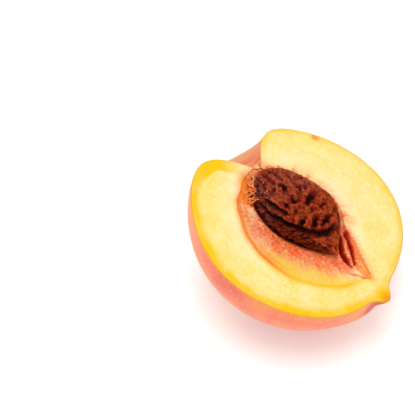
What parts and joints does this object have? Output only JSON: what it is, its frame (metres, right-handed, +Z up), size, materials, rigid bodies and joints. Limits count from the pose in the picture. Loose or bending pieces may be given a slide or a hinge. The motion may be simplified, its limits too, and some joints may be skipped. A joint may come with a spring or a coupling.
{
  "type": "peach half",
  "caption": "Ripe peach half with its stone in place, lying on its skin side and leaning a little, cut face up.",
  "frame": {"origin": "centre of the bounding box, at the level of the flat spot that the half rests on", "axes": "+Z up, away from the surface it lies on; +X level, from the stem end towards the beak at the tip; +Y level, across the cut face"},
  "size_m": [0.0768, 0.0784, 0.0456],
  "materials": {
    "flesh": "moist cut flesh, pale cream yellow with a golden rim",
    "skin": "velvety skin, salmon pink with a red blush",
    "stone": "rough, deeply pitted, damp reddish-brown shell"
  },
  "bodies": {
    "root": {"flesh": "flesh", "stone": "stone"}
  },
  "joints": []
}
